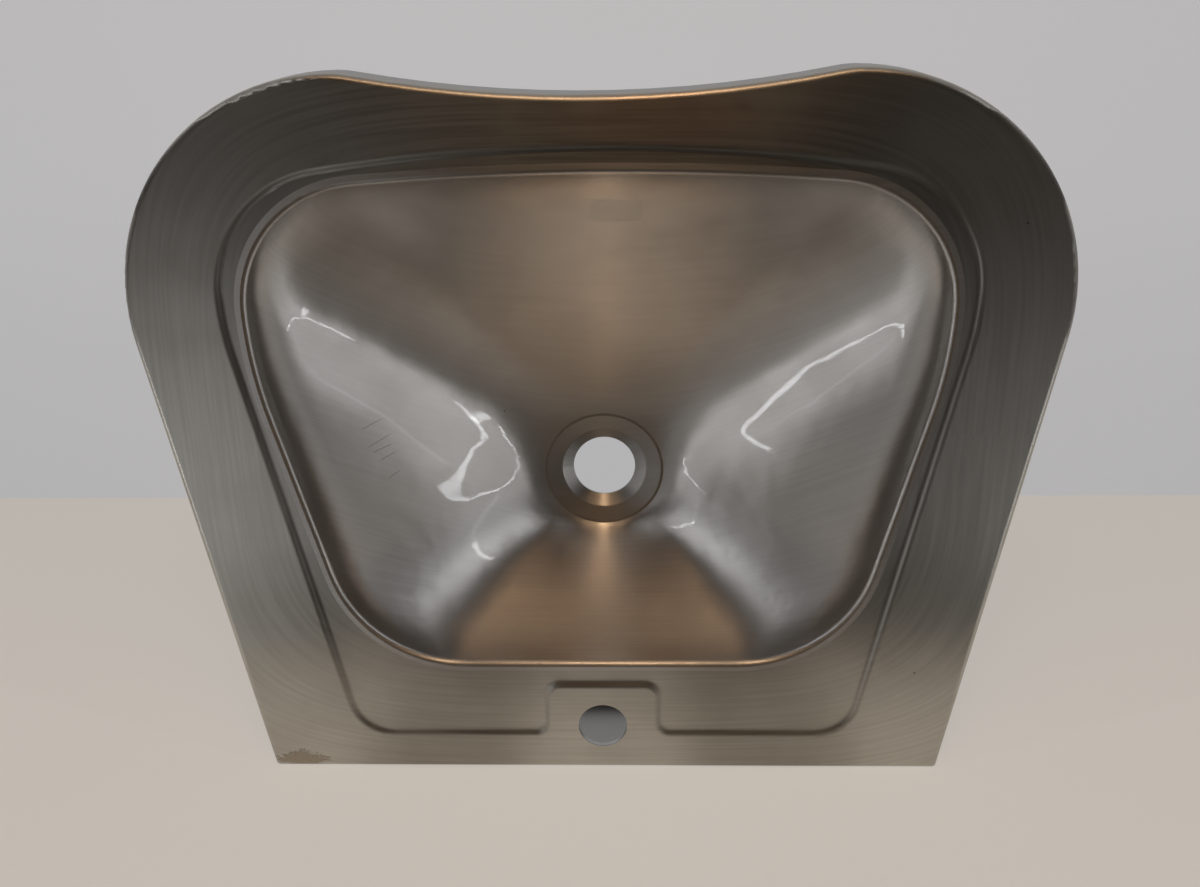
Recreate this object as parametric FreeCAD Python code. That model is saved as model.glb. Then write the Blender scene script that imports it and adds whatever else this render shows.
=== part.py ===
"""Wall-hung stainless steel hand wash sink.

A pressed deck with a lowered ledge, a raised tap landing and a rolled edge carries
a drawn bowl that is welded into its mouth and ground flush.  Behind the bowl the
deck folds down into an apron that is bolted to the wall through two brackets.

Lengths are in millimetres.  The wall is the plane y = 0 and the sink stands out from
it towards -Y, with +X to the right of a person who faces the wall and +Z up.  The
origin lies on the wall, midway between the two fixing holes.  Plan outlines are
written with a reach, which is the distance from the wall, so y = -reach.
"""
import FreeCAD, Part
import math
import os

# ---- sheet and heights ----
sheet = 1.2                     # thickness of the deck and the bowl
rim_height = 45.0               # top of the rim above the wall fixings
ledge_drop = 4.0                # ledge round the bowl below the rim
flange_depth = 30.0             # turned-down flange at the sides and front
apron_depth = 85.0              # folded apron against the wall
apron_end_gap = 4.0             # apron's ends in from the ends of the rear edge
apron_lip = 14.0                # stiffening lip under the apron
apron_lip_end_gap = 12.0        # lip's ends in from the apron's ends
fold_radius = 3.0               # outside of the apron's folds

# ---- deck outline ----
overall_width = 600.0
overall_reach = 490.0           # wall to the crests of the two front lobes
rear_width = 485.0
rear_corner_radius = 3.0
lobe_radius = 142.0             # front corners
crest_radius = 64.0             # turn from each lobe into the front's hollow
front_hollow = 14.0             # middle of the front edge behind the crests
roll_radius = 4.0               # outside of the rolled edge

# ---- recess of the ledge, measured at the middle of its sloping step ----
rim_side = 60.0                 # recess in from the widest part of the rim
rim_front = 44.5                # recess behind the crests of the front lobes
recess_rear = 29.0
recess_front_radius = 1160.0
recess_corner_radius = 80.0
recess_shoulder_radius = 190.0
recess_rear_half_run = 152.0    # half of the straight run along the rear
recess_rear_radius = 30.0
step_angle = 60.0               # slope of the step from the level
step_radius = 3.0               # bends at the top and foot of the step

# ---- tap landing, which stands at the height of the rim ----
landing_width = 80.0
landing_reach = 69.5
landing_corner_radius = 10.0
landing_root_radius = 9.0
tap_hole_diameter = 35.0
tap_hole_reach = 36.0
tap_plate_width = 62.0
tap_plate_length = 46.0
tap_plate_thickness = 3.0
tap_plate_corner_radius = 6.0

# ---- mouth of the bowl ----
ledge_side = 15.0               # mouth in from the recess at the sides
ledge_front = 16.0              # mouth in from the recess in the middle of the front
mouth_rear = 86.0
mouth_front_radius = 1890.0
mouth_corner_radius = 80.0
mouth_shoulder_radius = 290.0
mouth_rear_half_run = 96.0
mouth_rear_radius = 93.0
mouth_roll_radius = 4.0         # rounded edge that leads down into the bowl
weld_land = 2.5                 # flat edge of the bowl outside the rounded edge

# ---- bowl ----
wall_depth = 124.0              # ledge down to the edge of the floor
floor_radius = 46.0
floor_land = 2.0                # level run between the wall and the falling floor
floor_fall = 2.5                # fall of the floor to the waste seat
waste_reach = 184.0
seat_diameter = 65.0
seat_depth = 5.0
seat_edge_radius = 1.5
waste_hole_diameter = 48.0
upper_fullness = 0.20           # share of the depth that the wall starts out steep
lower_fullness = 0.15           # share of the way in that the wall ends up level
wall_sections = 7
section_spacing = 13.0          # between the points of a section at the mouth

# ---- sound pads under the bowl's side walls ----
pad_thickness = 3.0
pad_length = 120.0
pad_width = 62.0
pad_corner_radius = 9.0
pad_reach = 238.0               # middle of a pad
pad_offset = 128.0              # middle of a pad from the middle of the sink

# ---- wall brackets ----
fixing_spacing = 280.0
fixing_hole_diameter = 12.0
bracket_thickness = 3.0
bracket_width = 52.0
bracket_height = 66.0
bracket_reach = 74.0            # wall to the front of the bracket's top flange
bracket_nose = 16.0             # height of the web at its front end
bracket_flange_gap = 6.0        # top flange in front of the recess's rear edge
bracket_bend_radius = 5.0       # outside of the bracket's folds
bracket_corner_radius = 6.0

# ---- earth tag with its screw ----
tag_inset = 37.5                # middle of the tag from the end of the rear edge
tag_drop = 22.0                 # tag's arm below the wall fixings
tag_width = 16.0
tag_height = 16.0
tag_length = 20.0
tag_thickness = 1.5
tag_bend_radius = 2.5
earth_screw_diameter = 5.0
earth_screw_length = 12.0
earth_bore = 5.5                # clearance hole in the tag and the washers
earth_head_diameter = 9.5
earth_head_height = 3.0
earth_head_bevel = 1.0          # bevelled edge of the head
earth_slot_width = 1.2
earth_slot_depth = 1.3
earth_washer_diameter = 10.0
earth_washer_thickness = 1.0
earth_nut_sides = 6
earth_nut_flats = 8.0
earth_nut_height = 4.0

# ---- worked out from the sizes above ----
rim_top = rim_height
ledge_top = rim_top - ledge_drop
ledge_under = ledge_top - sheet
floor_edge = ledge_top - wall_depth
rear_half = rear_width / 2.0
recess_width = overall_width - 2.0 * rim_side
recess_front = overall_reach - rim_front
mouth_width = recess_width - 2.0 * ledge_side
mouth_front = recess_front - ledge_front
seat_radius = seat_diameter / 2.0
waste_hole_radius = waste_hole_diameter / 2.0
bowl_land = mouth_roll_radius + weld_land
fixing_half = fixing_spacing / 2.0
tag_offset = rear_half - tag_inset
far = 1000.0                    # longer than anything in the sink
clear = 1.0                     # how far a cutting block runs past what it cuts
on_edge = 0.5                   # how near to an outline an edge counts as on it
match = 1e-4                    # how near two places count as the same
edge_samples = (0.13, 0.5, 0.87)  # shares of an edge's length at which it is tested


def place(x, reach, z):
    """A point of the sink from its side, reach and height."""
    return FreeCAD.Vector(x, -reach, z)


def box(x_from, x_to, reach_from, reach_to, bottom, top):
    """Box between two sides, two reaches and two heights."""
    shape = Part.makeBox(x_to - x_from, reach_to - reach_from, top - bottom)
    shape.translate(place(x_from, reach_to, bottom))
    return shape


def edges_along(shape, axis, **places):
    """Edges that run along one axis and keep to the given places on the others."""
    found = []
    for edge in shape.Edges:
        limits = edge.BoundBox
        spans = {"x": (limits.XMin, limits.XMax), "y": (limits.YMin, limits.YMax),
                 "z": (limits.ZMin, limits.ZMax)}
        low, high = spans[axis]
        kept = all(max(abs(end - value) for end in spans[name]) < match
                   for name, value in places.items())
        if high - low > match and kept:
            found.append(edge)
    return found


# ---------------------------------------------------------------- plan outlines
# An outline is a list of arcs in order round the plan.  Each arc is its centre, its
# radius, its first and last angle and whether it bulges out (1) or in (-1).  Straight
# edges run from the end of an arc to the start of the next, so an outline is moved
# inwards by changing radii alone and stays smooth.

def arc_point(arc, angle, inset):
    x, reach, radius, _, _, bulge = arc
    radius = radius - bulge * inset
    return x + radius * math.cos(angle), reach + radius * math.sin(angle)


def mirrored(arcs):
    """The arcs of the other half, in the order that closes the outline."""
    return [(-x, reach, radius, math.pi - last, math.pi - first, bulge)
            for x, reach, radius, first, last, bulge in reversed(arcs)]


def tangent_angle(first, second):
    """Outward angle of the straight edge that touches two arcs on the same side."""
    along = math.atan2(second[1] - first[1], second[0] - first[0])
    distance = math.hypot(second[0] - first[0], second[1] - first[1])
    return along - math.acos((first[2] - second[2]) / distance)


def deck_outline():
    """Rim seen from above: straight flanks, round front lobes and a hollow front."""
    corner = (rear_half - rear_corner_radius, rear_corner_radius, rear_corner_radius)
    crest = overall_width / 2.0 - lobe_radius
    lobe = (crest, overall_reach - lobe_radius, lobe_radius)
    flank = tangent_angle(corner, lobe)
    turn = 2.0 * math.atan(front_hollow / crest)
    hollow_radius = crest / math.sin(turn) - crest_radius
    hollow_reach = overall_reach - front_hollow + hollow_radius
    half = [corner + (-math.pi / 2.0, flank, 1),
            lobe + (flank, math.pi / 2.0, 1),
            (crest, overall_reach - crest_radius, crest_radius,
             math.pi / 2.0, math.pi / 2.0 + turn, 1)]
    hollow = (0.0, hollow_reach, hollow_radius,
              turn - math.pi / 2.0, -turn - math.pi / 2.0, -1)
    return half + [hollow] + mirrored(half)


def soft_trapezium(width, rear, front, front_radius, corner_radius, shoulder_radius,
                   rear_half_run, rear_radius):
    """Outline that widens to the front, with round corners and a bowed front."""
    half_width = width / 2.0
    inner = half_width - corner_radius
    drop = math.sqrt((front_radius - corner_radius) ** 2 - inner ** 2)
    widest = front - front_radius + drop
    corner = (inner, widest, corner_radius)
    shoulder = (half_width - shoulder_radius, widest, shoulder_radius)
    back = (rear_half_run, rear + rear_radius, rear_radius)
    flank = tangent_angle(back, shoulder)
    bow = math.atan2(drop, inner)
    half = [back + (-math.pi / 2.0, flank, 1),
            shoulder + (flank, 0.0, 1),
            corner + (0.0, bow, 1)]
    bow_arc = (0.0, front - front_radius, front_radius, bow, math.pi - bow, 1)
    return half + [bow_arc] + mirrored(half)


def mouth_outline():
    return soft_trapezium(mouth_width, mouth_rear, mouth_front, mouth_front_radius,
                          mouth_corner_radius, mouth_shoulder_radius,
                          mouth_rear_half_run, mouth_rear_radius)


def recess_outline():
    """Edge of the lowered ledge, which steps round the tap landing at the rear."""
    outline = soft_trapezium(recess_width, recess_rear, recess_front,
                             recess_front_radius, recess_corner_radius,
                             recess_shoulder_radius, recess_rear_half_run,
                             recess_rear_radius)
    half_landing = landing_width / 2.0
    tip = (half_landing - landing_corner_radius, landing_reach - landing_corner_radius,
           landing_corner_radius, math.pi / 2.0, 0.0, -1)
    root = (half_landing + landing_root_radius, recess_rear + landing_root_radius,
            landing_root_radius, math.pi, 1.5 * math.pi, 1)
    return [tip, root] + outline + mirrored([tip, root])


def outline_wire(outline, inset, z):
    """Closed wire of arcs and straight edges, moved inwards by inset."""
    edges = []
    for index, arc in enumerate(outline):
        first, last = arc[3], arc[4]
        start = place(*arc_point(arc, first, inset), z)
        middle = place(*arc_point(arc, (first + last) / 2.0, inset), z)
        end = place(*arc_point(arc, last, inset), z)
        edges.append(Part.Arc(start, middle, end).toShape())
        following = outline[(index + 1) % len(outline)]
        onward = place(*arc_point(following, following[3], inset), z)
        if (onward - end).Length > match:
            edges.append(Part.makeLine(end, onward))
    return Part.Wire(edges)


def slab(outline, inset, bottom, top):
    """Flat-sided solid of an outline between two heights."""
    face = Part.Face(outline_wire(outline, inset, bottom))
    return face.extrude(FreeCAD.Vector(0, 0, top - bottom))


def sloped(outline, upper_inset, top, lower_inset, bottom):
    """Solid of an outline whose wall slopes from one inset to another."""
    upper = outline_wire(outline, upper_inset, top)
    lower = outline_wire(outline, lower_inset, bottom)
    return Part.makeLoft([upper, lower], True, True)


# ---------------------------------------------------------------- deck panel

def level_edges(shape, outline, inset, z):
    """Edges of a shape that follow an outline at one height."""
    wire = outline_wire(outline, inset, z)
    found = []
    for edge in shape.Edges:
        first, last = edge.ParameterRange
        points = [edge.valueAt(first + (last - first) * share) for share in edge_samples]
        if all(abs(point.z - z) < on_edge for point in points):
            gaps = [wire.distToShape(Part.Vertex(point))[0] for point in points]
            if max(gaps) < on_edge:
                found.append(edge)
    return found


def pressed_form(inset, depth):
    """Top side of the deck as a block, or its underside when moved in by the sheet."""
    top = rim_top - inset
    half_step = ledge_drop / math.tan(math.radians(step_angle)) / 2.0
    shift = inset * math.tan(math.radians(step_angle) / 2.0)
    block = slab(deck_outline(), inset, rim_top - depth, top)
    recess = sloped(recess_outline(), -half_step - shift, top,
                    half_step - shift, top - ledge_drop)
    form = block.cut(recess)
    form = form.makeFillet(roll_radius - inset,
                           level_edges(form, deck_outline(), inset, top))
    form = form.makeFillet(step_radius - inset,
                           level_edges(form, recess_outline(), -half_step - shift, top))
    return form.makeFillet(step_radius + inset,
                           level_edges(form, recess_outline(), half_step - shift,
                                       top - ledge_drop))


def apron():
    """Folded plate against the wall with a stiffening lip along its lower edge."""
    foot = rim_top - apron_depth
    half = rear_half - rear_corner_radius - apron_end_gap
    lip_half = half - apron_lip_end_gap
    plate = box(-half, half, 0.0, sheet, foot + fold_radius, rim_top - flange_depth)
    fold = box(-lip_half, lip_half, 0.0, apron_lip, foot, foot + 2.0 * fold_radius)
    fold = fold.cut(box(-lip_half, lip_half, sheet, apron_lip, foot + sheet, far))
    fold = fold.makeFillet(fold_radius, edges_along(fold, "x", y=0.0, z=foot))
    fold = fold.makeFillet(fold_radius - sheet,
                           edges_along(fold, "x", y=-sheet, z=foot + sheet))
    return plate.fuse(fold)


def fixing_holes():
    """Two level cylinders through the apron and the wall brackets."""
    holes = []
    for side in (-1, 1):
        start = place(side * fixing_half, -sheet, 0.0)
        holes.append(Part.makeCylinder(fixing_hole_diameter / 2.0, bracket_reach,
                                       start, FreeCAD.Vector(0, -1, 0)))
    return holes


def tap_hole():
    """Upright cylinder through the tap landing and its plate."""
    start = place(0.0, tap_hole_reach, rim_top - ledge_drop - tap_plate_thickness)
    return Part.makeCylinder(tap_hole_diameter / 2.0, far, start)


def deck_panel():
    """Pressed deck with its apron, open at the mouth, the tap hole and the fixings."""
    sheet_form = pressed_form(0.0, flange_depth)
    sheet_form = sheet_form.cut(pressed_form(sheet, flange_depth + sheet))
    mouth = slab(mouth_outline(), -bowl_land, ledge_under - ledge_drop, far)
    panel = sheet_form.fuse(apron()).removeSplitter()
    return panel.cut([mouth, tap_hole()] + fixing_holes())


# ---------------------------------------------------------------- bowl

def outline_points(outline, spacing):
    """Points along an outline, each with the direction in which the outline runs."""
    points = []
    for index, arc in enumerate(outline):
        first, last = arc[3], arc[4]
        turn = last - first
        count = max(1, round(abs(turn) * arc[2] / spacing))
        way = math.copysign(1.0, turn)
        for step in range(count):
            angle = first + turn * step / count
            direction = (-way * math.sin(angle), way * math.cos(angle))
            points.append((arc_point(arc, angle, 0.0), direction))
        end = arc_point(arc, last, 0.0)
        following = outline[(index + 1) % len(outline)]
        onward = arc_point(following, following[3], 0.0)
        run = math.hypot(onward[0] - end[0], onward[1] - end[1])
        count = round(run / spacing)
        direction = (-way * math.sin(last), way * math.cos(last))
        for step in range(count):
            share = step / count
            points.append(((end[0] + (onward[0] - end[0]) * share,
                            end[1] + (onward[1] - end[1]) * share), direction))
    return points


def bezier(values, share):
    """Value of a cubic curve with four control values, and its rate of change."""
    rest = 1.0 - share
    first, second, third, fourth = values
    value = (rest ** 3 * first + 3.0 * rest ** 2 * share * second
             + 3.0 * rest * share ** 2 * third + share ** 3 * fourth)
    rate = (3.0 * rest ** 2 * (second - first) + 6.0 * rest * share * (third - second)
            + 3.0 * share ** 2 * (fourth - third))
    return value, rate


def wall_point(mouth_point, direction, share, offset):
    """A point of the wall: share 0 at the mouth, 1 at the floor, moved out by offset.

    Every line down the wall lies in an upright plane through the waste.  It starts
    straight down at the mouth and ends level at the floor's round edge.
    """
    waste = FreeCAD.Vector(0.0, waste_reach, 0.0)
    mouth = FreeCAD.Vector(mouth_point[0], mouth_point[1], 0.0) - waste
    along = FreeCAD.Vector(direction[0], direction[1], 0.0)
    distance = mouth.Length
    outward = mouth / distance
    edge = outward * floor_radius
    edge_along = (along - outward * outward.dot(along)) * (floor_radius / distance)
    out, out_rate = bezier((1.0, 1.0, lower_fullness, 0.0), share)
    down, down_rate = bezier((0.0, upper_fullness, 1.0, 1.0), share)
    point = waste + edge + (mouth - edge) * out
    point.z = ledge_top - wall_depth * down
    across = edge_along + (along - edge_along) * out
    slope = (mouth - edge) * out_rate
    slope.z = -wall_depth * down_rate
    normal = across.cross(slope).normalize()
    if normal.dot(outward) - normal.z < 0.0:
        normal = normal * -1.0
    point = point + normal * offset
    return place(point.x, point.y, point.z)


def wall_form(offset):
    """The bowl's inside as a block, or a block that is larger by offset all round."""
    points = outline_points(mouth_outline(), section_spacing)
    travelled = [0.0]
    for index, (point, _) in enumerate(points):
        onward = points[(index + 1) % len(points)][0]
        travelled.append(travelled[-1] + math.hypot(onward[0] - point[0],
                                                    onward[1] - point[1]))
    knots = [length / travelled[-1] for length in travelled]
    sections = []
    for level in range(wall_sections + 1):
        share = level / wall_sections
        curve = Part.BSplineCurve()
        curve.interpolate(Points=[wall_point(point, direction, share, offset)
                                  for point, direction in points],
                          PeriodicFlag=True, Parameters=knots)
        sections.append(Part.Wire([curve.toShape()]))
    return Part.makeLoft(sections, True, False)


def floor_ring():
    """Turned ring that falls to the waste seat."""
    seat_top = floor_edge - floor_fall
    outer = floor_radius - floor_land
    upper = [(outer, floor_edge), (seat_radius, seat_top),
             (waste_hole_radius, seat_top - seat_depth)]
    lower = [(radius, height - sheet) for radius, height in reversed(upper)]
    points = [place(radius, waste_reach, height) for radius, height in upper + lower]
    face = Part.Face(Part.makePolygon(points + [points[0]]))
    return face.revolve(place(0.0, waste_reach, 0.0), FreeCAD.Vector(0, 0, 1), 360)


def bowl():
    """Drawn bowl with a flat welding edge, a rounded mouth and a sunk waste seat."""
    edge = slab(mouth_outline(), -bowl_land, ledge_under, ledge_top)
    shell = edge.fuse(wall_form(sheet))
    under = level_edges(shell, mouth_outline(), -sheet, ledge_under)
    shell = shell.makeFillet(mouth_roll_radius - sheet, under)
    shell = shell.cut(wall_form(0.0))
    lip = level_edges(shell, mouth_outline(), 0.0, ledge_top)
    shell = shell.makeFillet(mouth_roll_radius, lip)
    middle = Part.makeCylinder(floor_radius - floor_land, 2.0 * sheet + clear,
                               place(0.0, waste_reach, floor_edge - 2.0 * sheet))
    shell = shell.cut(middle).fuse(floor_ring())
    return round_seat_edge(shell)


def round_seat_edge(shell):
    """Softens the two rings where the floor turns down into the waste seat."""
    seat_top = floor_edge - floor_fall
    for radius, height in ((seat_edge_radius, seat_top),
                           (seat_edge_radius - sheet, seat_top - sheet)):
        ring = [edge for edge in shell.Edges
                if isinstance(edge.Curve, Part.Circle)
                and abs(edge.Curve.Radius - seat_radius) < match
                and abs(edge.Curve.Center.z - height) < match]
        shell = shell.makeFillet(radius, ring)
    return shell


# ---------------------------------------------------------------- tap plate

def rounded_plate(width, length, radius, x, reach, bottom, thickness):
    """Level plate with round corners, given by its middle."""
    plate = box(x - width / 2.0, x + width / 2.0, reach - length / 2.0,
                reach + length / 2.0, bottom, bottom + thickness)
    return plate.makeFillet(radius, edges_along(plate, "z"))


def tap_plate():
    """Stiffener welded under the tap landing, so that the tap stands firm."""
    bottom = rim_top - sheet - tap_plate_thickness
    plate = rounded_plate(tap_plate_width, tap_plate_length, tap_plate_corner_radius,
                          0.0, tap_hole_reach, bottom, tap_plate_thickness)
    return plate.cut(tap_hole())


# ---------------------------------------------------------------- sound pads

def sound_pad(side):
    """Damping pad that lies against the outside of one side wall of the bowl."""
    layer = wall_form(sheet + pad_thickness).cut(wall_form(sheet))
    window = rounded_plate(pad_width, pad_length, pad_corner_radius,
                           side * pad_offset, pad_reach, floor_edge, wall_depth)
    return layer.common(window).Solids[0]


# ---------------------------------------------------------------- wall brackets

def nose_bottom():
    return ledge_under - bracket_nose


def bracket_back(outer, foot):
    """Back plate and side web, folded from one piece round an upright bend."""
    inner = outer - bracket_thickness
    front = sheet + bracket_thickness
    edge = outer - bracket_width
    plate = box(edge, outer, sheet, bracket_reach, foot, ledge_under)
    plate = plate.cut(box(edge, inner, front, bracket_reach, foot, ledge_under))
    plate = plate.makeFillet(bracket_bend_radius,
                             edges_along(plate, "z", x=outer, y=-sheet))
    plate = plate.makeFillet(bracket_bend_radius - bracket_thickness,
                             edges_along(plate, "z", x=inner, y=-front))
    return plate.makeFillet(bracket_corner_radius, edges_along(plate, "y", x=edge))


def web_offcut(outer, foot):
    """What is cut from under the web, so that it tapers towards its front."""
    start = sheet + bracket_thickness + bracket_bend_radius
    corners = [(start, foot - clear), (start, foot), (bracket_reach, nose_bottom()),
               (bracket_reach + clear, nose_bottom()),
               (bracket_reach + clear, foot - clear)]
    points = [place(outer - bracket_width, reach, z) for reach, z in corners]
    face = Part.Face(Part.makePolygon(points + [points[0]]))
    return face.extrude(FreeCAD.Vector(bracket_width + clear, 0, 0))


def bracket_flange(outer, start):
    """Top flange and the upper edge of the web, folded round a level bend."""
    inner = outer - bracket_thickness
    lower = ledge_under - bracket_thickness
    edge = outer - bracket_width
    flange = box(edge, outer, start, bracket_reach, nose_bottom(), ledge_under)
    flange = flange.cut(box(edge, inner, start, bracket_reach, nose_bottom(), lower))
    flange = flange.makeFillet(bracket_bend_radius,
                               edges_along(flange, "y", x=outer, z=ledge_under))
    flange = flange.makeFillet(bracket_bend_radius - bracket_thickness,
                               edges_along(flange, "y", x=inner, z=lower))
    return flange.makeFillet(bracket_corner_radius, edges_along(flange, "z", x=edge))


def right_bracket():
    """Folded bracket between the apron and the underside of the ledge."""
    outer = fixing_half + bracket_width / 2.0
    foot = ledge_under - bracket_height
    start = recess_rear + bracket_flange_gap
    back = bracket_back(outer, foot).cut(web_offcut(outer, foot))
    back = back.cut(box(outer - bracket_width, outer + clear, start, far,
                        nose_bottom(), far))
    bracket = back.fuse(bracket_flange(outer, start)).removeSplitter()
    return bracket.cut(fixing_holes())


def left_bracket():
    return right_bracket().mirror(FreeCAD.Vector(0, 0, 0), FreeCAD.Vector(1, 0, 0))


# ---------------------------------------------------------------- earth tag

def tag_arm_top():
    return -tag_drop + tag_thickness


def earth_tag():
    """Small folded tab welded to the apron, for the earth wire."""
    left = tag_offset - tag_width / 2.0
    right = tag_offset + tag_width / 2.0
    front = sheet + tag_thickness
    tab = box(left, right, sheet, sheet + tag_length, -tag_drop, tag_height - tag_drop)
    tab = tab.cut(box(left, right, front, far, tag_arm_top(), far))
    tab = tab.makeFillet(tag_bend_radius, edges_along(tab, "x", y=-sheet, z=-tag_drop))
    tab = tab.makeFillet(tag_bend_radius - tag_thickness,
                         edges_along(tab, "x", y=-front, z=tag_arm_top()))
    return tab.cut(earth_disc(earth_bore, -tag_drop - clear, far))


def screw_reach():
    return sheet + tag_length - tag_width / 2.0


def earth_disc(diameter, bottom, height):
    return Part.makeCylinder(diameter / 2.0, height,
                             place(tag_offset, screw_reach(), bottom))


def earth_washers():
    """One washer above the tag's arm and one below it."""
    washers = []
    for bottom in (tag_arm_top(), -tag_drop - earth_washer_thickness):
        ring = earth_disc(earth_washer_diameter, bottom, earth_washer_thickness)
        washers.append(ring.cut(earth_disc(earth_bore, bottom, earth_washer_thickness)))
    return Part.makeCompound(washers)


def earth_screw():
    """Slotted screw with a bevelled head and its shank downwards."""
    seat = tag_arm_top() + earth_washer_thickness
    crown = seat + earth_head_height
    head = earth_disc(earth_head_diameter, seat, earth_head_height)
    head = head.makeChamfer(earth_head_bevel, edges_along(head, "x", z=crown))
    head = head.cut(box(-far, far, screw_reach() - earth_slot_width / 2.0,
                        screw_reach() + earth_slot_width / 2.0,
                        crown - earth_slot_depth, crown + clear))
    shank = earth_disc(earth_screw_diameter, seat - earth_screw_length,
                       earth_screw_length)
    return head.fuse(shank)


def earth_nut():
    """Hexagon nut below the lower washer."""
    top = -tag_drop - earth_washer_thickness
    corner = earth_nut_flats / 2.0 / math.cos(math.pi / earth_nut_sides)
    angles = [2.0 * math.pi * turn / earth_nut_sides
              for turn in range(earth_nut_sides + 1)]
    points = [place(tag_offset + corner * math.cos(angle),
                    screw_reach() + corner * math.sin(angle),
                    top - earth_nut_height) for angle in angles]
    face = Part.Face(Part.makePolygon(points))
    body = face.extrude(FreeCAD.Vector(0, 0, earth_nut_height))
    return body.cut(earth_disc(earth_screw_diameter, top - far, 2.0 * far))


# ---------------------------------------------------------------- the whole sink

parts = {
    "deck_panel": deck_panel(),
    "bowl": bowl(),
    "tap_plate": tap_plate(),
    "left_sound_pad": sound_pad(-1),
    "right_sound_pad": sound_pad(1),
    "left_wall_bracket": left_bracket(),
    "right_wall_bracket": right_bracket(),
    "earth_tag": earth_tag(),
    "earth_screw": earth_screw(),
    "earth_washers": earth_washers(),
    "earth_nut": earth_nut(),
}

os.makedirs("parts", exist_ok=True)
for name, shape in parts.items():
    shape.exportStep("parts/" + name + ".step")
    limits = shape.BoundBox
    print("{:20s} solids {} valid {} volume {:9.0f}  x {:.1f} {:.1f}  y {:.1f} {:.1f}"
          "  z {:.1f} {:.1f}".format(name, len(shape.Solids), shape.isValid(),
                                     shape.Volume, limits.XMin, limits.XMax,
                                     limits.YMin, limits.YMax, limits.ZMin, limits.ZMax))
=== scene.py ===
# %% [markdown]
# # A wall-hung stainless steel hand wash sink
#
# The construction of the sink is ready: the deck, the bowl, the brackets and the small
# earth point come as finished metal pieces, in metres, with the wall at y = 0 and the
# front of the sink towards -Y.  This lesson gives those pieces their looks.  A metal
# sink has no colour of its own: nearly all that one sees is the room, mirrored and
# blurred by the finish of the sheet.  So the room comes first, and the finishes after.

# %% Load the frame
import bpy
import math
from mathutils import Matrix, Vector

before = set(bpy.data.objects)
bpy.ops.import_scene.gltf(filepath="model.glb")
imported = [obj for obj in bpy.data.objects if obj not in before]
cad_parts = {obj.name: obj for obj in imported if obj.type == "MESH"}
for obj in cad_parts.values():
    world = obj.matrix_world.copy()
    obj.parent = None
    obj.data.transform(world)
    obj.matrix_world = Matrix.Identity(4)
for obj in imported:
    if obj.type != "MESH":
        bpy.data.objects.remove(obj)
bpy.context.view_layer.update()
print("pieces:", ", ".join(sorted(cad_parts)))

# %% [markdown]
# ## The camera
#
# The sink was photographed lying back, seen from above its bowl.  The angles and the
# place of the camera were worked out from the outline of the rim and from the two round
# holes.  A camera in Blender looks down its own -Z axis, so a turned frame of three
# directions (right, up, backwards) is all that is needed to aim it.

# %% Place the camera
RIM_TOP = 0.045
CAMERA_PLACE = Vector((-0.0236, -0.5402, RIM_TOP + 0.735))
PITCH, YAW, ROLL = math.radians(21.2008), math.radians(-1.7664), math.radians(-0.8599)


def seen_direction(right, down, forward):
    """A direction given in the picture, turned into the frame of the sink."""
    flat = right * math.cos(ROLL) + down * math.sin(ROLL)
    fall = down * math.cos(ROLL) - right * math.sin(ROLL)
    out = fall * math.cos(PITCH) + forward * math.sin(PITCH)
    deep = forward * math.cos(PITCH) - fall * math.sin(PITCH)
    side = math.cos(YAW) * flat + math.sin(YAW) * deep
    down_in = math.cos(YAW) * deep - math.sin(YAW) * flat
    return Vector((-side, out, -down_in))


camera_data = bpy.data.cameras.new("camera")
camera_data.sensor_width = 36.0
camera_data.lens = 36.0
camera = bpy.data.objects.new("camera", camera_data)
bpy.context.collection.objects.link(camera)
right = seen_direction(1, 0, 0)
up = -seen_direction(0, 1, 0)
back = -seen_direction(0, 0, 1)
camera.matrix_world = Matrix((
    (right.x, up.x, back.x, CAMERA_PLACE.x),
    (right.y, up.y, back.y, CAMERA_PLACE.y),
    (right.z, up.z, back.z, CAMERA_PLACE.z),
    (0, 0, 0, 1)))
bpy.context.scene.camera = camera
print("camera looks along", [round(v, 3) for v in -back])

# %% [markdown]
# ## A pale room
#
# The sink hangs on a pale wall above a pale floor, inside a pale curtain.  They belong to
# the stage.  They have to look pale to the camera without flooding the metal with light,
# so each is partly matt, which keeps the shadow of the sink, and partly shines by itself
# towards the camera and towards the metal that mirrors it.  Light Path tells which ray
# asks.

# %% Build the wall and the floor
FLOOR_HEIGHT = -0.45


def plane(name, size, place, turn):
    """A square plane whose shape, not its object, holds the place and the turn."""
    bpy.ops.object.select_all(action="DESELECT")
    bpy.ops.mesh.primitive_plane_add(size=size, location=place, rotation=turn)
    sheet = bpy.context.object
    sheet.name = name
    bpy.ops.object.transform_apply(location=True, rotation=True, scale=True)
    return sheet


BAND_START, BAND_END = (0.03, 0.09), (0.13, 0.22)      # metres from the middle
BAND_GLOW = 0.5


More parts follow.
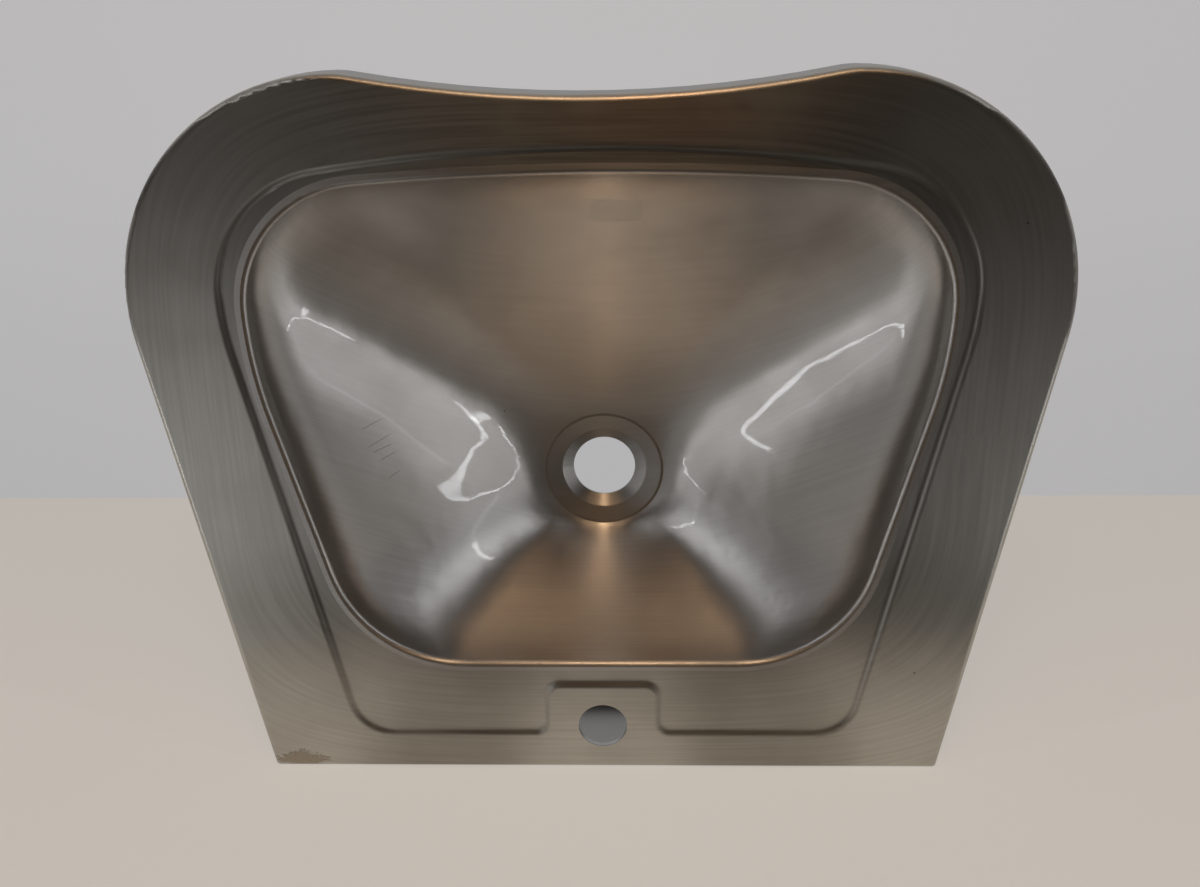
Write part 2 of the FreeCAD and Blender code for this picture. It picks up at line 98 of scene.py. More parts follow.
def dimmed(nodes, links, glossy):
    """Dims the glow towards the metal in a band on either side of the middle."""
    place = nodes.new("ShaderNodeTexCoord")
    split = nodes.new("ShaderNodeSeparateXYZ")
    links.new(place.outputs["Object"], split.inputs[0])
    aside = nodes.new("ShaderNodeMath")
    aside.operation = "ABSOLUTE"
    links.new(split.outputs[0], aside.inputs[0])
    larger = nodes.new("ShaderNodeMath")
    larger.operation = "MAXIMUM"
    changes = ((*BAND_START, 1.0, BAND_GLOW), (*BAND_END, BAND_GLOW, 1.0))
    for socket, change in zip(larger.inputs, changes):
        slope = nodes.new("ShaderNodeMapRange")
        slope.interpolation_type = "SMOOTHSTEP"
        for limit, value in zip(slope.inputs[1:5], change):
            limit.default_value = value
        links.new(aside.outputs[0], slope.inputs[0])
        links.new(slope.outputs[0], socket)
    share = nodes.new("ShaderNodeMath")
    share.operation = "MULTIPLY"
    links.new(larger.outputs[0], share.inputs[0])
    links.new(glossy, share.inputs[1])
    return share.outputs[0]


def stage_material(name, matt_colour, shine, sides_dimmed=False):
    """A pale finish for the stage, seen from its front and clear from behind."""
    material = bpy.data.materials.new(name)
    material.use_nodes = True
    nodes, links = material.node_tree.nodes, material.node_tree.links
    nodes.clear()
    matt = nodes.new("ShaderNodeBsdfDiffuse")
    matt.inputs["Color"].default_value = (*matt_colour, 1)
    glow = nodes.new("ShaderNodeEmission")
    glow.inputs["Color"].default_value = (*shine, 1)
    path = nodes.new("ShaderNodeLightPath")
    seen = nodes.new("ShaderNodeMath")
    seen.operation = "MAXIMUM"
    shown = nodes.new("ShaderNodeMath")
    shown.operation = "MAXIMUM"
    links.new(path.outputs["Is Camera Ray"], seen.inputs[0])
    glossy = path.outputs["Is Glossy Ray"]
    links.new(dimmed(nodes, links, glossy) if sides_dimmed else glossy, seen.inputs[1])
    links.new(seen.outputs[0], shown.inputs[0])
    links.new(path.outputs["Is Transmission Ray"], shown.inputs[1])
    links.new(shown.outputs[0], glow.inputs["Strength"])
    both = nodes.new("ShaderNodeAddShader")
    links.new(matt.outputs[0], both.inputs[0])
    links.new(glow.outputs[0], both.inputs[1])
    clear = nodes.new("ShaderNodeBsdfTransparent")
    side = nodes.new("ShaderNodeNewGeometry")
    choose = nodes.new("ShaderNodeMixShader")
    output = nodes.new("ShaderNodeOutputMaterial")
    links.new(side.outputs["Backfacing"], choose.inputs[0])
    links.new(both.outputs[0], choose.inputs[1])
    links.new(clear.outputs[0], choose.inputs[2])
    links.new(choose.outputs[0], output.inputs[0])
    return material


floor = plane("floor", 6.0, (0, 0, FLOOR_HEIGHT), (0, 0, 0))
floor.data.materials.append(
    stage_material("pale_floor", (0.60, 0.60, 0.61), (0.37, 0.38, 0.395)))
WALL_TOP = 0.20
WALL_SIZE, WALL_GAP, WALL_STRETCH = 0.75, 0.001, 3
wall = plane("wall", WALL_SIZE, (0, WALL_GAP, WALL_TOP - WALL_SIZE / 2),
             (math.radians(90), 0, 0))
for corner in wall.data.vertices:
    corner.co.x *= WALL_STRETCH
wall.data.materials.append(
    stage_material("pale_wall", (0.60, 0.58, 0.56), (0.42, 0.40, 0.37), sides_dimmed=True))
print("floor at", FLOOR_HEIGHT, "m, wall up to", WALL_TOP, "m")

# %% Hang the curtain
bpy.ops.object.select_all(action="DESELECT")
CURTAIN_RADIUS, CURTAIN_HEIGHT = 3.2, 1.5
bpy.ops.mesh.primitive_cylinder_add(
    vertices=96, radius=CURTAIN_RADIUS, depth=CURTAIN_HEIGHT, end_fill_type="NOTHING",
    location=(0, 0, FLOOR_HEIGHT + CURTAIN_HEIGHT / 2))
curtain = bpy.context.object
curtain.name = "curtain"
bpy.ops.object.mode_set(mode="EDIT")
bpy.ops.mesh.select_all(action="SELECT")
bpy.ops.mesh.flip_normals()
bpy.ops.object.mode_set(mode="OBJECT")
bpy.ops.object.transform_apply(location=True, rotation=True, scale=True)
curtain.data.materials.append(
    stage_material("pale_curtain", (0.34, 0.34, 0.35), (0.24, 0.24, 0.25)))
print("curtain", CURTAIN_HEIGHT, "m high")

# %% [markdown]
# ## Lamps where the metal shows them
#
# Every bright line in the bowl is a lamp that the metal mirrors.  Followed back from the
# photograph, those lines lead to thin straight lamps at both sides and in front of the
# sink, and to one warm lamp in front.  A thin lamp does two things at once here: the
# brushed steel spreads it into a broad silver band, and the smoother skin of the drawn
# bowl keeps it as one sharp thread of light.  Above the sink the room stays dark, which
# gives the rim its deep tone.  The price is a low light: colours on the sink render much
# darker here than they are written.

# %% Hang the lamps


def lamp(name, place, aim, size, power, colour):
    """A soft rectangular lamp at a place, turned towards a point."""
    data = bpy.data.lights.new(name, "AREA")
    data.shape = "RECTANGLE"
    data.size, data.size_y = size
    data.energy = power
    data.color = colour
    lamp_object = bpy.data.objects.new(name, data)
    bpy.context.collection.objects.link(lamp_object)
    lamp_object.location = place
    direction = Vector(aim) - Vector(place)
    lamp_object.rotation_euler = direction.to_track_quat("-Z", "Y").to_euler()
    return lamp_object


COOL = (0.94, 0.96, 1.0)
WARM = (1.0, 0.66, 0.40)
BOWL_MIDDLE = Vector((0, -0.22, 0.0))
STRIP_HEIGHT = 0.80
STRIP_WIDTH = 0.012


def strip(name, start, end, radiance, colour):
    """A thin straight lamp between two places of the plan, facing the bowl."""
    run = Vector((end[0] - start[0], end[1] - start[1], 0))
    place = Vector(((start[0] + end[0]) / 2, (start[1] + end[1]) / 2, STRIP_HEIGHT))
    down = (BOWL_MIDDLE - place).normalized()
    along = (run - down * run.dot(down)).normalized()
    power = math.pi * radiance * run.length * STRIP_WIDTH
    strip_lamp = lamp(name, place, BOWL_MIDDLE, (run.length, STRIP_WIDTH), power, colour)
    turn = Matrix((along, along.cross(down), -down)).transposed()
    strip_lamp.rotation_euler = turn.to_euler()
    return strip_lamp


STRIP_CORNERS = ((1.30, -1.65), (1.38, -0.80), (1.45, 0.20), (1.00, 0.27), (0.88, 0.35))
STRIP_PARTS = (("front", 40), ("middle", 6), ("wall", 40), ("end", 40))     # name, radiance
for side, name in ((1, "left"), (-1, "right")):
    for (part, radiance), start, end in zip(STRIP_PARTS, STRIP_CORNERS, STRIP_CORNERS[1:]):
        strip(name + "_strip_" + part, (side * start[0], start[1]), (side * end[0], end[1]),
              radiance, COOL)
strip("front_strip", (-0.6, -1.40), (0.6, -1.40), 45, WARM)
lamp("front_lamp", (0, -1.20, 0.85), BOWL_MIDDLE, (0.20, 0.35), 1.2, WARM)
lamp("left_fill", (0.62, 0.10, 0.92), (0.24, -0.22, 0), (0.6, 0.6), 0.45, COOL)
lamp("right_fill", (-0.62, 0.10, 0.92), (-0.24, -0.22, 0), (0.6, 0.6), 0.11, COOL)
print("lamps:", len(bpy.data.lights))

# %% Darken the room above
world = bpy.data.worlds.new("room")
world.use_nodes = True
bpy.context.scene.world = world
sky = world.node_tree.nodes["Background"]
sky.inputs["Color"].default_value = (0.021, 0.017, 0.014, 1)
sky.inputs["Strength"].default_value = 1.0
bpy.context.scene.view_settings.view_transform = "Standard"
print("world colour:", [round(v, 3) for v in sky.inputs["Color"].default_value[:3]])

# %% [markdown]
# ## Short words for wiring nodes
#
# The finishes below are made of many small sums: how far a point lies from a line, where
# it lies round the rim, how rough it is there.  Each sum is one node.  The short helpers
# place a node, feed it with numbers or with the output of another node, and hand on its
# result, so that a finish reads almost like a formula.

# %% Make the wiring helpers


def feed(tree, socket, term):
    """Sets an input to a number, or links it to another node's output."""
    if isinstance(term, bpy.types.NodeSocket):
        tree.links.new(term, socket)
    else:
        socket.default_value = term


def total(tree, operation, *terms):
    """The result of one sum on numbers."""
    node = tree.nodes.new("ShaderNodeMath")
    node.operation = operation
    for socket, term in zip(node.inputs, terms):
        feed(tree, socket, term)
    return node.outputs[0]


def arrow(tree, operation, *terms):
    """The result of one sum on places or directions; a plain number is the scale."""
    node = tree.nodes.new("ShaderNodeVectorMath")
    node.operation = operation
    scale = [term for term in terms if isinstance(term, float)]
    for socket, term in zip(node.inputs, [t for t in terms if not isinstance(t, float)]):
        feed(tree, socket, term)
    if scale:
        node.inputs["Scale"].default_value = scale[0]
    return node.outputs["Value" if operation in ("DOT_PRODUCT", "LENGTH") else "Vector"]


def ramp(tree, number, low, high):
    """0 below one value, 1 above another, and a smooth rise between."""
    node = tree.nodes.new("ShaderNodeMapRange")
    node.interpolation_type = "SMOOTHSTEP"
    feed(tree, node.inputs["Value"], number)
    node.inputs["From Min"].default_value = low
    node.inputs["From Max"].default_value = high
    return node.outputs[0]


def parts_of(tree, vector):
    """The x, y and z of a place or a direction."""
    node = tree.nodes.new("ShaderNodeSeparateXYZ")
    tree.links.new(vector, node.inputs[0])
    return node.outputs[0], node.outputs[1], node.outputs[2]


def joined(tree, x, y, z):
    """A place or direction made of three numbers."""
    node = tree.nodes.new("ShaderNodeCombineXYZ")
    for socket, term in zip(node.inputs, (x, y, z)):
        feed(tree, socket, term)
    return node.outputs[0]


def noise(tree, vector, scale, detail=2.0, roughness=0.5):
    """Soft random pattern from 0 to 1."""
    node = tree.nodes.new("ShaderNodeTexNoise")
    tree.links.new(vector, node.inputs["Vector"])
    node.inputs["Scale"].default_value = scale
    node.inputs["Detail"].default_value = detail
    node.inputs["Roughness"].default_value = roughness
    return node.outputs[0]


def tint(tree, share, first, second):
    """A colour between two colours."""
    node = tree.nodes.new("ShaderNodeMix")
    node.data_type = "RGBA"
    feed(tree, node.inputs[0], share)
    for socket, term in ((node.inputs[6], first), (node.inputs[7], second)):
        feed(tree, socket, (*term, 1) if isinstance(term, tuple) else term)
    return node.outputs[2]


def between(tree, share, first, second):
    """A number between two numbers."""
    node = tree.nodes.new("ShaderNodeMix")
    feed(tree, node.inputs[0], share)
    feed(tree, node.inputs[2], first)
    feed(tree, node.inputs[3], second)
    return node.outputs[0]


def finish_group(name, inputs, outputs):
    """An empty node group with named inputs and outputs."""
    group = bpy.data.node_groups.new(name, "ShaderNodeTree")
    for socket, kind, start in inputs:
        made = group.interface.new_socket(socket, in_out="INPUT", socket_type="NodeSocket" + kind)
        if start is not None:
            made.default_value = start
    for socket, kind in outputs:
        group.interface.new_socket(socket, in_out="OUTPUT", socket_type="NodeSocket" + kind)
    return group, group.nodes.new("NodeGroupInput"), group.nodes.new("NodeGroupOutput")


def use(tree, group, **terms):
    """Places a finished group in a material and feeds its inputs."""
    node = tree.nodes.new("ShaderNodeGroup")
    node.node_tree = group
    for name, term in terms.items():
        feed(tree, node.inputs[name], term)
    return node.outputs


# %% [markdown]
# ## Brush lines
#
# Brushed sheet is covered with fine parallel scratches from an abrasive belt.  They are
# fractions of a millimetre apart and some centimetres long.  A noise pattern draws them:
# it changes about fifty to eighty times faster across the lines than along them.  The
# group takes two lengths in metres, across the lines and along them, so the same lines can
# run straight over the bowl and round the corners of the rim.

# %% Make the brush lines
brush_lines, entry, exit_node = finish_group(
    "brush_lines", [("Across", "Float", 0.0), ("Along", "Float", 0.0)],
    [("Height", "Float"), ("Streak", "Float")])
FINE_LINES, COARSE_LINES = 1900.0, 420.0      # lines per metre, across them
FINE_BREAKS, COARSE_BREAKS = 24.0, 9.0        # breaks per metre, along them
fine = noise(brush_lines, joined(
    brush_lines, total(brush_lines, "MULTIPLY", entry.outputs[0], FINE_LINES),
    total(brush_lines, "MULTIPLY", entry.outputs[1], FINE_BREAKS), 0.0), 1.0, 1.0)
coarse = noise(brush_lines, joined(
    brush_lines, total(brush_lines, "MULTIPLY", entry.outputs[0], COARSE_LINES),
    total(brush_lines, "MULTIPLY", entry.outputs[1], COARSE_BREAKS), 7.0), 1.0, 2.0)
brush_lines.links.new(total(brush_lines, "MULTIPLY_ADD", coarse, 0.5,
                            total(brush_lines, "MULTIPLY", fine, 0.5)), exit_node.inputs[0])
brush_lines.links.new(ramp(brush_lines, coarse, 0.25, 0.75), exit_node.inputs[1])

# %% [markdown]
# ## Handling marks, waves and small flaws
#
# A sink that has been handled carries wiped smears, faint dents and a few scratches.
# Smears are wide soft patches, waves are so shallow that only a mirrored line betrays
# them, a scratch is a mask round one place, and specks are scattered over the whole sheet.
# Smears and specks serve several finishes and the scratch is placed five times, so each is
# a group that is built once.  The waves are a group only to keep the bowl easy to read.

# %% Make the smears and the waves
SMEAR_SHIFT, SMEAR_BEND = (3.0, 1.0, 2.0), 0.35
smears, entry, exit_node = finish_group("smears", [("Place", "Vector", None)],
                                        [("Mask", "Float")])
bent = arrow(smears, "ADD", entry.outputs[0],
             arrow(smears, "SCALE", arrow(smears, "ADD", entry.outputs[0], SMEAR_SHIFT),
                   SMEAR_BEND))
wide = noise(smears, bent, 9.0, 4.0, 0.62)
smears.links.new(ramp(smears, wide, 0.42, 0.68), exit_node.inputs[0])

waves, entry, exit_node = finish_group("waves", [("Place", "Vector", None)],
                                       [("Height", "Float")])
slow = noise(waves, entry.outputs[0], 34.0, 1.0, 0.4)
quick = noise(waves, entry.outputs[0], 150.0, 1.0, 0.5)
waves.links.new(total(waves, "MULTIPLY_ADD", quick, 0.16, slow), exit_node.inputs[0])

# %% Make the scratch and the speck
scratch, entry, exit_node = finish_group(
    "scratch", [("Place", "Vector", None), ("Middle", "Vector", (0, 0, 0)),
                ("Direction", "Vector", (1, 0, 0)), ("Half Length", "Float", 0.01),
                ("Width", "Float", 0.0005)], [("Mask", "Float")])
apart = arrow(scratch, "SUBTRACT", entry.outputs[0], entry.outputs[1])
run = arrow(scratch, "DOT_PRODUCT", apart, entry.outputs[2])
direction_x, direction_y, _ = parts_of(scratch, entry.outputs[2])
apart_x, apart_y, _ = parts_of(scratch, apart)
aside = total(scratch, "SUBTRACT", total(scratch, "MULTIPLY", apart_x, direction_y),
              total(scratch, "MULTIPLY", apart_y, direction_x))
within = ramp(scratch, total(scratch, "DIVIDE", total(scratch, "ABSOLUTE", run),
                             entry.outputs[3]), 1.0, 0.6)
thin = ramp(scratch, total(scratch, "DIVIDE", total(scratch, "ABSOLUTE", aside),
                           entry.outputs[4]), 1.0, 0.3)
scratch.links.new(total(scratch, "MULTIPLY", within, thin), exit_node.inputs[0])

specks, entry, exit_node = finish_group(
    "specks", [("Place", "Vector", None), ("Spread", "Float", 60.0)], [("Mask", "Float")])
cells = specks.nodes.new("ShaderNodeTexVoronoi")
specks.links.new(entry.outputs[0], cells.inputs["Vector"])
specks.links.new(entry.outputs[1], cells.inputs["Scale"])
chosen = ramp(specks, parts_of(specks, cells.outputs["Color"])[0], 0.86, 0.88)
small = ramp(specks, cells.outputs["Distance"], 0.045, 0.02)
specks.links.new(total(specks, "MULTIPLY", chosen, small), exit_node.inputs[0])

print("patterns:", ", ".join(sorted(group.name for group in bpy.data.node_groups)))

# %% [markdown]
# ## Round the rim
#
# On the rim the belt followed the edge, so the lines run down both flanks, round the
# corners and along the front.  A rounded rectangle comes close to that: raise the sideways
# and the front-to-back distance from the middle to the fourth power, and their sum is
# level along such a shape.  The group hands on how far out a point lies, how far round,
# and the direction straight across the lines.  Light spreads in that direction on brushed
# metal.

# %% Find the way round the rim
HALF_SIDE, HALF_REACH = 0.28, 0.23            # metres, from the middle of the deck
DECK_MIDDLE = (0.0, -0.26, 0.0)
MEAN_RADIUS = 0.25                            # metres, turns shares of the rim into lengths
rim_way, entry, exit_node = finish_group(
    "rim_way", [("Place", "Vector", None)],
    [("Across", "Float"), ("Along", "Float"), ("Spread", "Vector")])
scaled = arrow(rim_way, "MULTIPLY", arrow(rim_way, "SUBTRACT", entry.outputs[0], DECK_MIDDLE),
               (1 / HALF_SIDE, 1 / HALF_REACH, 0.0))
cubed = arrow(rim_way, "MULTIPLY", scaled, arrow(rim_way, "MULTIPLY", scaled, scaled))
level = total(rim_way, "POWER", arrow(rim_way, "DOT_PRODUCT", scaled, cubed), 1 / 4)
side_share, reach_share, _ = parts_of(rim_way, scaled)
rim_way.links.new(total(rim_way, "MULTIPLY", level, MEAN_RADIUS), exit_node.inputs[0])
rim_way.links.new(total(rim_way, "MULTIPLY",
                        total(rim_way, "ARCTAN2", reach_share, side_share), MEAN_RADIUS),
                  exit_node.inputs[1])
rim_way.links.new(arrow(rim_way, "NORMALIZE", cubed), exit_node.inputs[2])
print("rim_way hands on:", ", ".join(socket.name for socket in exit_node.inputs if socket.name))

# %% [markdown]
# ## The deck
#
# The deck is pressed from satin sheet.  Its rim is dark where it mirrors the room above
# and grey-brown near the wall.  The pressed step round the ledge is a soft bend, so there
# the normal is leaned back towards the vertical, which lets the step mirror the dark room
# as a broad, quiet band, and the side ledges get painted shade in their colour.  The
# underside was never brushed and is duller.  A painted warm reflection tints the front of
# the rim, and at one rear corner a crust of old sealant is left.

# %% Make the helpers for metal


def metal(name, roughness, anisotropy):
    """A metal whose colour and roughness are still to come."""
    material = bpy.data.materials.new(name)
    material.use_nodes = True
    surface = material.node_tree.nodes["Principled BSDF"]
    surface.inputs["Metallic"].default_value = 1.0
    surface.inputs["Roughness"].default_value = roughness
    surface.inputs["Anisotropic"].default_value = anisotropy
    place = material.node_tree.nodes.new("ShaderNodeTexCoord")
    return material, material.node_tree, surface, place


def bumped(tree, surface, height, distance, normal=None):
    """Feeds a height pattern to the surface, distance in metres."""
    bump = tree.nodes.new("ShaderNodeBump")
    bump.inputs["Distance"].default_value = distance
    feed(tree, bump.inputs["Height"], height)
    if normal is not None:
        feed(tree, bump.inputs["Normal"], normal)
    tree.links.new(bump.outputs[0], surface.inputs["Normal"])


def dress(node, material):
    """Puts a finish in every material slot of a finished piece."""
    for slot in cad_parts[node].material_slots:
        slot.material = material
    print(node, "wears", material.name)


# %% Find the step and the ledge
deck_steel, tree, surface, place = metal("deck_steel", 0.33, 0.62)
way = use(tree, rim_way, Place=place.outputs["Object"])
lines = use(tree, brush_lines, Across=way["Across"], Along=way["Along"])
smear = use(tree, smears, Place=place.outputs["Object"])["Mask"]
speck = use(tree, specks, Place=place.outputs["Object"], Spread=46.0)["Mask"]
x, y, z = parts_of(tree, place.outputs["Object"])
facing = parts_of(tree, place.outputs["Normal"])[2]
top_side = ramp(tree, facing, 0.0, 0.15)

MOUTH_EDGE, LEDGE_TOP = 0.0398, 0.0408        # heights in metres
STEP_FOOT, STEP_TOP = 0.0413, 0.0435
FLANK_SLOPE, FLANK_REAR = -0.157, 0.222
REAR_LINE, FRONT_LINE, SOFT_EDGE = -0.012, -0.466, 0.004
LEAN = 1.5                                    # upright share added to the normal
flank = total(tree, "MULTIPLY_ADD", y, FLANK_SLOPE, FLANK_REAR)
inside = ramp(tree, total(tree, "SUBTRACT", flank, total(tree, "ABSOLUTE", x)), 0.0, SOFT_EDGE)
inside = total(tree, "MULTIPLY", inside, ramp(tree, y, REAR_LINE, REAR_LINE - SOFT_EDGE))
inside = total(tree, "MULTIPLY", inside, ramp(tree, y, FRONT_LINE, FRONT_LINE + SOFT_EDGE))
stepped = total(tree, "MULTIPLY", inside, ramp(tree, z, MOUTH_EDGE, LEDGE_TOP))
stepped = total(tree, "MULTIPLY", stepped, top_side)
softened = arrow(tree, "NORMALIZE", arrow(tree, "ADD", place.outputs["Normal"],
                 joined(tree, 0.0, 0.0, total(tree, "MULTIPLY", stepped, LEAN))))
side_face = total(tree, "ABSOLUTE", parts_of(tree, way["Spread"])[0])
# Painted shade: the side ledges are darkened in colour, as if they mirrored the dark room.
ledge_painted_shade = total(tree, "MULTIPLY", stepped, ramp(tree, side_face, 0.35, 0.85))
ledge_painted_shade = total(tree, "MULTIPLY", ledge_painted_shade, ramp(tree, z, STEP_TOP, STEP_FOOT))

# %% Find the crust and the painted warm reflection
CRUST_X, CRUST_Y = 0.222, -0.006
CRUST_REACH, CRUST_SLIMNESS = 0.020, 0.42
corner_x = total(tree, "SUBTRACT", x, CRUST_X)
corner_y = total(tree, "SUBTRACT", y, CRUST_Y)
along_x = total(tree, "MULTIPLY", total(tree, "ABSOLUTE", corner_x), CRUST_SLIMNESS)
crust_edge = total(tree, "ADD", along_x, total(tree, "ABSOLUTE", corner_y))
crumbs = noise(tree, place.outputs["Object"], 420.0, 3.0, 0.7)
crust = ramp(tree, total(tree, "MULTIPLY_ADD", crumbs, CRUST_REACH,
                         total(tree, "MULTIPLY", crust_edge, -1.0)), 0.0005, 0.0030)
crust = total(tree, "MULTIPLY", crust, top_side)

# Painted reflection: a warm tint along the front of the rim, where the warm lamps in front are
# mirrored.
TONE_PLACE, TONE_STRETCH = (-0.045, -0.462, 0.0), (0.25, 1.0, 0.0)
TONE_CORE, TONE_EDGE = 0.006, 0.026
from_tone = arrow(tree, "LENGTH", arrow(tree, "MULTIPLY", arrow(
    tree, "SUBTRACT", place.outputs["Object"], TONE_PLACE), TONE_STRETCH))
warm_reflection_paint = ramp(tree, total(tree, "MULTIPLY_ADD", smear, 0.006, from_tone), TONE_EDGE, TONE_CORE)

# %% Give the deck its finish
steel = tint(tree, lines["Streak"], (0.455, 0.43, 0.38), (0.535, 0.51, 0.455))
steel = tint(tree, total(tree, "MULTIPLY", smear, 0.35), steel, (0.42, 0.395, 0.345))
steel = tint(tree, total(tree, "MULTIPLY", speck, 0.8), steel, (0.14, 0.12, 0.10))
# Painted warm reflection on the front of the rim.
steel = tint(tree, total(tree, "MULTIPLY", warm_reflection_paint, 0.40), steel, (0.58, 0.39, 0.28))
# Painted shade on the side ledges.
steel = tint(tree, total(tree, "MULTIPLY", ledge_painted_shade, 0.25), steel, (0.20, 0.19, 0.175))
steel = tint(tree, top_side, (0.40, 0.40, 0.39), steel)
feed(tree, surface.inputs["Base Color"], tint(tree, crust, steel, (0.62, 0.57, 0.47)))
rough = between(tree, lines["Streak"], 0.31, 0.34)
rough = between(tree, smear, rough, 0.37)
rough = between(tree, top_side, 0.50, rough)
feed(tree, surface.inputs["Roughness"], between(tree, crust, rough, 0.60))
feed(tree, surface.inputs["Metallic"], between(tree, crust, 1.0, 0.55))
feed(tree, surface.inputs["Tangent"], way["Spread"])
bumped(tree, surface, total(tree, "MULTIPLY_ADD", crust, crumbs,
                            total(tree, "MULTIPLY", lines["Height"], 0.02)), 0.0006, softened)
dress("deck_panel", deck_steel)

# %% [markdown]
# ## The bowl
#
# The bowl was drawn deep and polished once, with the lines from side to side.  Bare steel
# has no coat, but a thin clear one stands in for its smoother parts here: it keeps lamps as
# sharp threads while the metal below blurs them into bands.  Shallow waves left by the press
# make those threads run unevenly.  On the front wall is a small matt patch, on one side
# wall a few scratches, and the floor in front of the waste is darkened with painted shade.

# %% Lay the lines and smears of the bowl
bowl_steel, tree, surface, place = metal("bowl_steel", 0.32, 0.83)
x, y, z = parts_of(tree, place.outputs["Object"])
lines = use(tree, brush_lines, Across=total(tree, "ADD", y, z), Along=x)
smear = use(tree, smears, Place=place.outputs["Object"])["Mask"]
speck = use(tree, specks, Place=place.outputs["Object"], Spread=40.0)["Mask"]
wave = use(tree, waves, Place=place.outputs["Object"])["Height"]
facing = parts_of(tree, place.outputs["Normal"])[2]
top_side = ramp(tree, facing, 0.0, 0.1)

# %% Find the patch
PATCH_MIDDLE, PATCH_HALF = (-0.012, -0.4012), (0.0163, 0.0076)
patch_x, patch_y = (
    total(tree, "SUBTRACT",
          total(tree, "ABSOLUTE", total(tree, "SUBTRACT", value, middle)), half)
    for value, middle, half in zip((x, y), PATCH_MIDDLE, PATCH_HALF))
ragged = noise(tree, place.outputs["Object"], 700.0, 2.0)
patch = ramp(tree, total(tree, "MULTIPLY_ADD", ragged, 0.002,
                         total(tree, "MAXIMUM", patch_x, patch_y)), 0.0016, 0.0008)

# %% Draw the scratches and the painted shade in front of the waste
SCRATCH_WIDTH = 0.0005
marks = speck
for middle, direction, half in (
        ((0.1622, -0.248, 0), (0.95, 0.30, 0), 0.008),
        ((0.158, -0.235, 0), (0.93, 0.36, 0), 0.009),
        ((0.1565, -0.229, 0), (0.97, 0.22, 0), 0.007),
        ((0.1534, -0.2224, 0), (0.94, 0.34, 0), 0.006),
        ((0.150, -0.208, 0), (0.90, 0.43, 0), 0.005)):
    line = use(tree, scratch, Place=place.outputs["Object"], Middle=middle, Direction=direction,
               Width=SCRATCH_WIDTH, **{"Half Length": half})["Mask"]
    marks = total(tree, "MAXIMUM", marks, total(tree, "MULTIPLY", line, 0.55))

WASTE_PLACE = (0.0, -0.184, 0.0)
# Painted shade: the floor in front of the waste is darkened in colour.
SHADE_CORE, SHADE_EDGE = 0.045, 0.125         # distances from the middle of the waste
SHADE_REAR, SHADE_FRONT = -0.150, -0.178      # places in y, where it starts and is full
from_waste = arrow(tree, "LENGTH", arrow(tree, "MULTIPLY", arrow(
    tree, "SUBTRACT", place.outputs["Object"], WASTE_PLACE), (1.0, 1.0, 0.0)))
waste_painted_shade = ramp(tree, total(tree, "MULTIPLY_ADD", smear, 0.02, from_waste), SHADE_EDGE, SHADE_CORE)
waste_painted_shade = total(tree, "MULTIPLY", waste_painted_shade, ramp(tree, y, SHADE_REAR, SHADE_FRONT))

# %% Give the bowl its finish
steel = tint(tree, lines["Streak"], (0.56, 0.54, 0.51), (0.61, 0.59, 0.56))
steel = tint(tree, total(tree, "MULTIPLY", smear, 0.30), steel, (0.50, 0.475, 0.44))
# Painted shade on the floor in front of the waste.
steel = tint(tree, total(tree, "MULTIPLY", waste_painted_shade, 0.35), steel, (0.17, 0.155, 0.135))
steel = tint(tree, marks, steel, (0.16, 0.15, 0.14))
steel = tint(tree, patch, steel, (0.72, 0.70, 0.66))
feed(tree, surface.inputs["Base Color"], tint(tree, top_side, (0.42, 0.42, 0.41), steel))
rough = between(tree, lines["Streak"], 0.305, 0.335)
rough = between(tree, smear, rough, 0.35)
rough = between(tree, patch, rough, 0.40)
feed(tree, surface.inputs["Roughness"], between(tree, top_side, 0.50, rough))
bare = total(tree, "MULTIPLY", top_side, total(tree, "SUBTRACT", 1.0, patch))
feed(tree, surface.inputs["Coat Weight"], total(tree, "MULTIPLY", bare, 0.17))
surface.inputs["Coat Roughness"].default_value = 0.02
feed(tree, surface.inputs["Tangent"], joined(tree, 0.0, 1.0, 0.0))
relief = total(tree, "MULTIPLY_ADD", lines["Height"], 0.05, wave)
bumped(tree, surface, total(tree, "MULTIPLY_ADD", marks, -0.1, relief), 0.00022)
dress("bowl", bowl_steel)

# %% [markdown]
# ## Hidden plates, pads and the earth point
#
# The brackets, the plate under the tap hole and the earth tag are cut from plain rolled
# sheet, which keeps straight rolling lines and a greyer, cloudier face.  The sound pads
# are a black pressed sheet with a fine pebbled skin.  The earth screw, its washers and
# its nut are turned brass that has begun to tarnish.

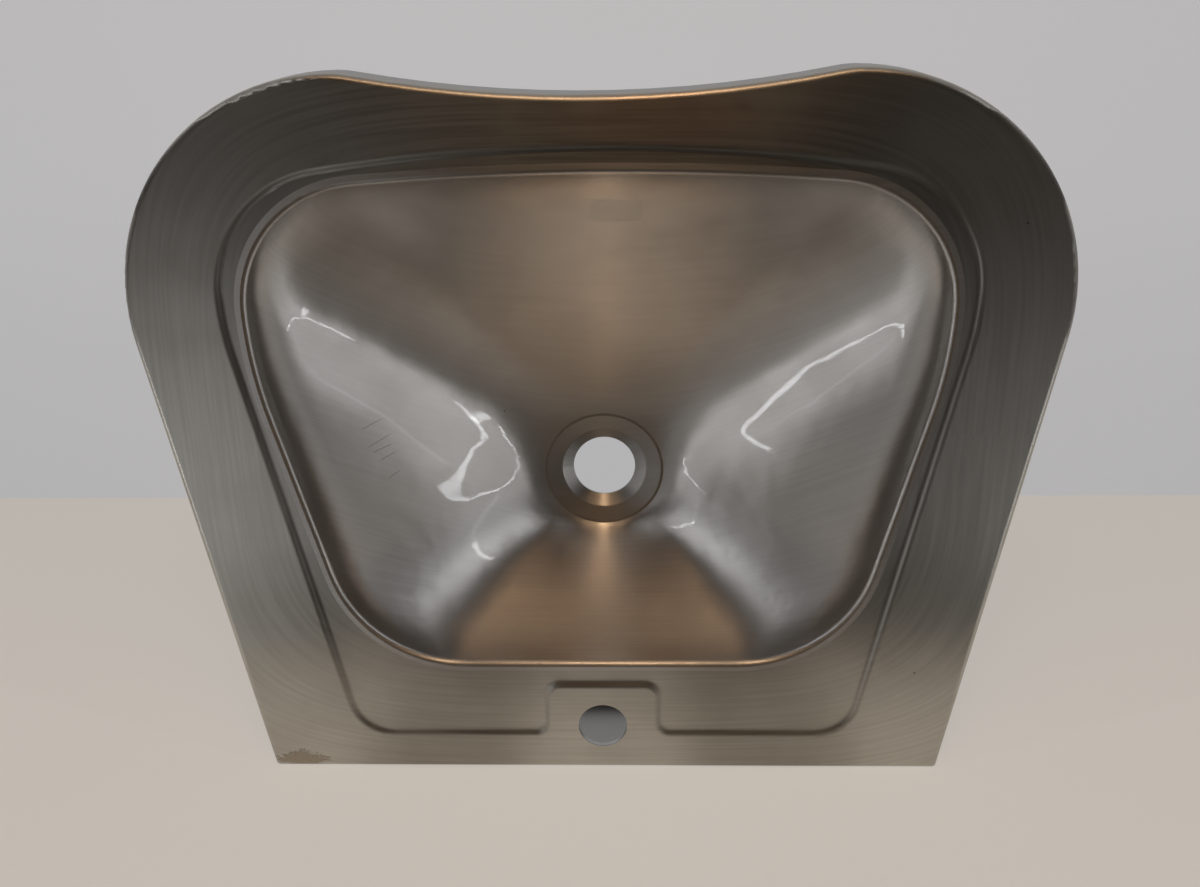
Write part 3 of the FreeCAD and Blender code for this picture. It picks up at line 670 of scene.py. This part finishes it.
# %% Give the plates their finish
plate_steel, tree, surface, place = metal("plate_steel", 0.42, 0.4)
x, y, z = parts_of(tree, place.outputs["Object"])
lines = use(tree, brush_lines, Across=total(tree, "ADD", x, y), Along=z)
smear = use(tree, smears, Place=arrow(tree, "SCALE", place.outputs["Object"], 3.0))["Mask"]
speck = use(tree, specks, Place=place.outputs["Object"], Spread=160.0)["Mask"]
steel = tint(tree, lines["Streak"], (0.46, 0.46, 0.455), (0.53, 0.53, 0.52))
steel = tint(tree, total(tree, "MULTIPLY", smear, 0.5), steel, (0.38, 0.375, 0.37))
feed(tree, surface.inputs["Base Color"], tint(tree, speck, steel, (0.2, 0.19, 0.18)))
feed(tree, surface.inputs["Roughness"], between(tree, smear, 0.38, 0.52))
feed(tree, surface.inputs["Tangent"], joined(tree, 1.0, 1.0, 0.0))
bumped(tree, surface, lines["Height"], 0.00002)
for name in ("left_wall_bracket", "right_wall_bracket", "tap_plate", "earth_tag"):
    dress(name, plate_steel)

# %% Give the pads their finish
pad_black = bpy.data.materials.new("pad_black")
pad_black.use_nodes = True
tree = pad_black.node_tree
surface = tree.nodes["Principled BSDF"]
place = tree.nodes.new("ShaderNodeTexCoord")
pebbles = tree.nodes.new("ShaderNodeTexVoronoi")
pebbles.inputs["Scale"].default_value = 620.0
tree.links.new(place.outputs["Object"], pebbles.inputs["Vector"])
smear = use(tree, smears, Place=arrow(tree, "SCALE", place.outputs["Object"], 2.0))["Mask"]
feed(tree, surface.inputs["Base Color"],
     tint(tree, smear, (0.022, 0.022, 0.024), (0.045, 0.044, 0.043)))
feed(tree, surface.inputs["Roughness"], between(tree, smear, 0.62, 0.80))
bumped(tree, surface, pebbles.outputs["Distance"], 0.0004)
for name in ("left_sound_pad", "right_sound_pad"):
    dress(name, pad_black)

# %% Give the earth point its finish
SCREW_PLACE = (0.205, -0.0132, 0.0)
earth_brass, tree, surface, place = metal("earth_brass", 0.32, 0.3)
from_axis = arrow(tree, "LENGTH", arrow(tree, "MULTIPLY", arrow(
    tree, "SUBTRACT", place.outputs["Object"], SCREW_PLACE), (1.0, 1.0, 0.0)))
height = parts_of(tree, place.outputs["Object"])[2]
lines = use(tree, brush_lines, Across=total(tree, "ADD", from_axis, height), Along=0.0)
cloud = noise(tree, place.outputs["Object"], 260.0, 3.0, 0.6)
tarnish = ramp(tree, cloud, 0.45, 0.70)
brass = tint(tree, lines["Streak"], (0.62, 0.44, 0.19), (0.74, 0.55, 0.26))
feed(tree, surface.inputs["Base Color"], tint(tree, tarnish, brass, (0.33, 0.22, 0.10)))
feed(tree, surface.inputs["Roughness"], between(tree, tarnish, 0.26, 0.50))
bumped(tree, surface, lines["Height"], 0.00003)
for name in ("earth_screw", "earth_washers", "earth_nut"):
    dress(name, earth_brass)
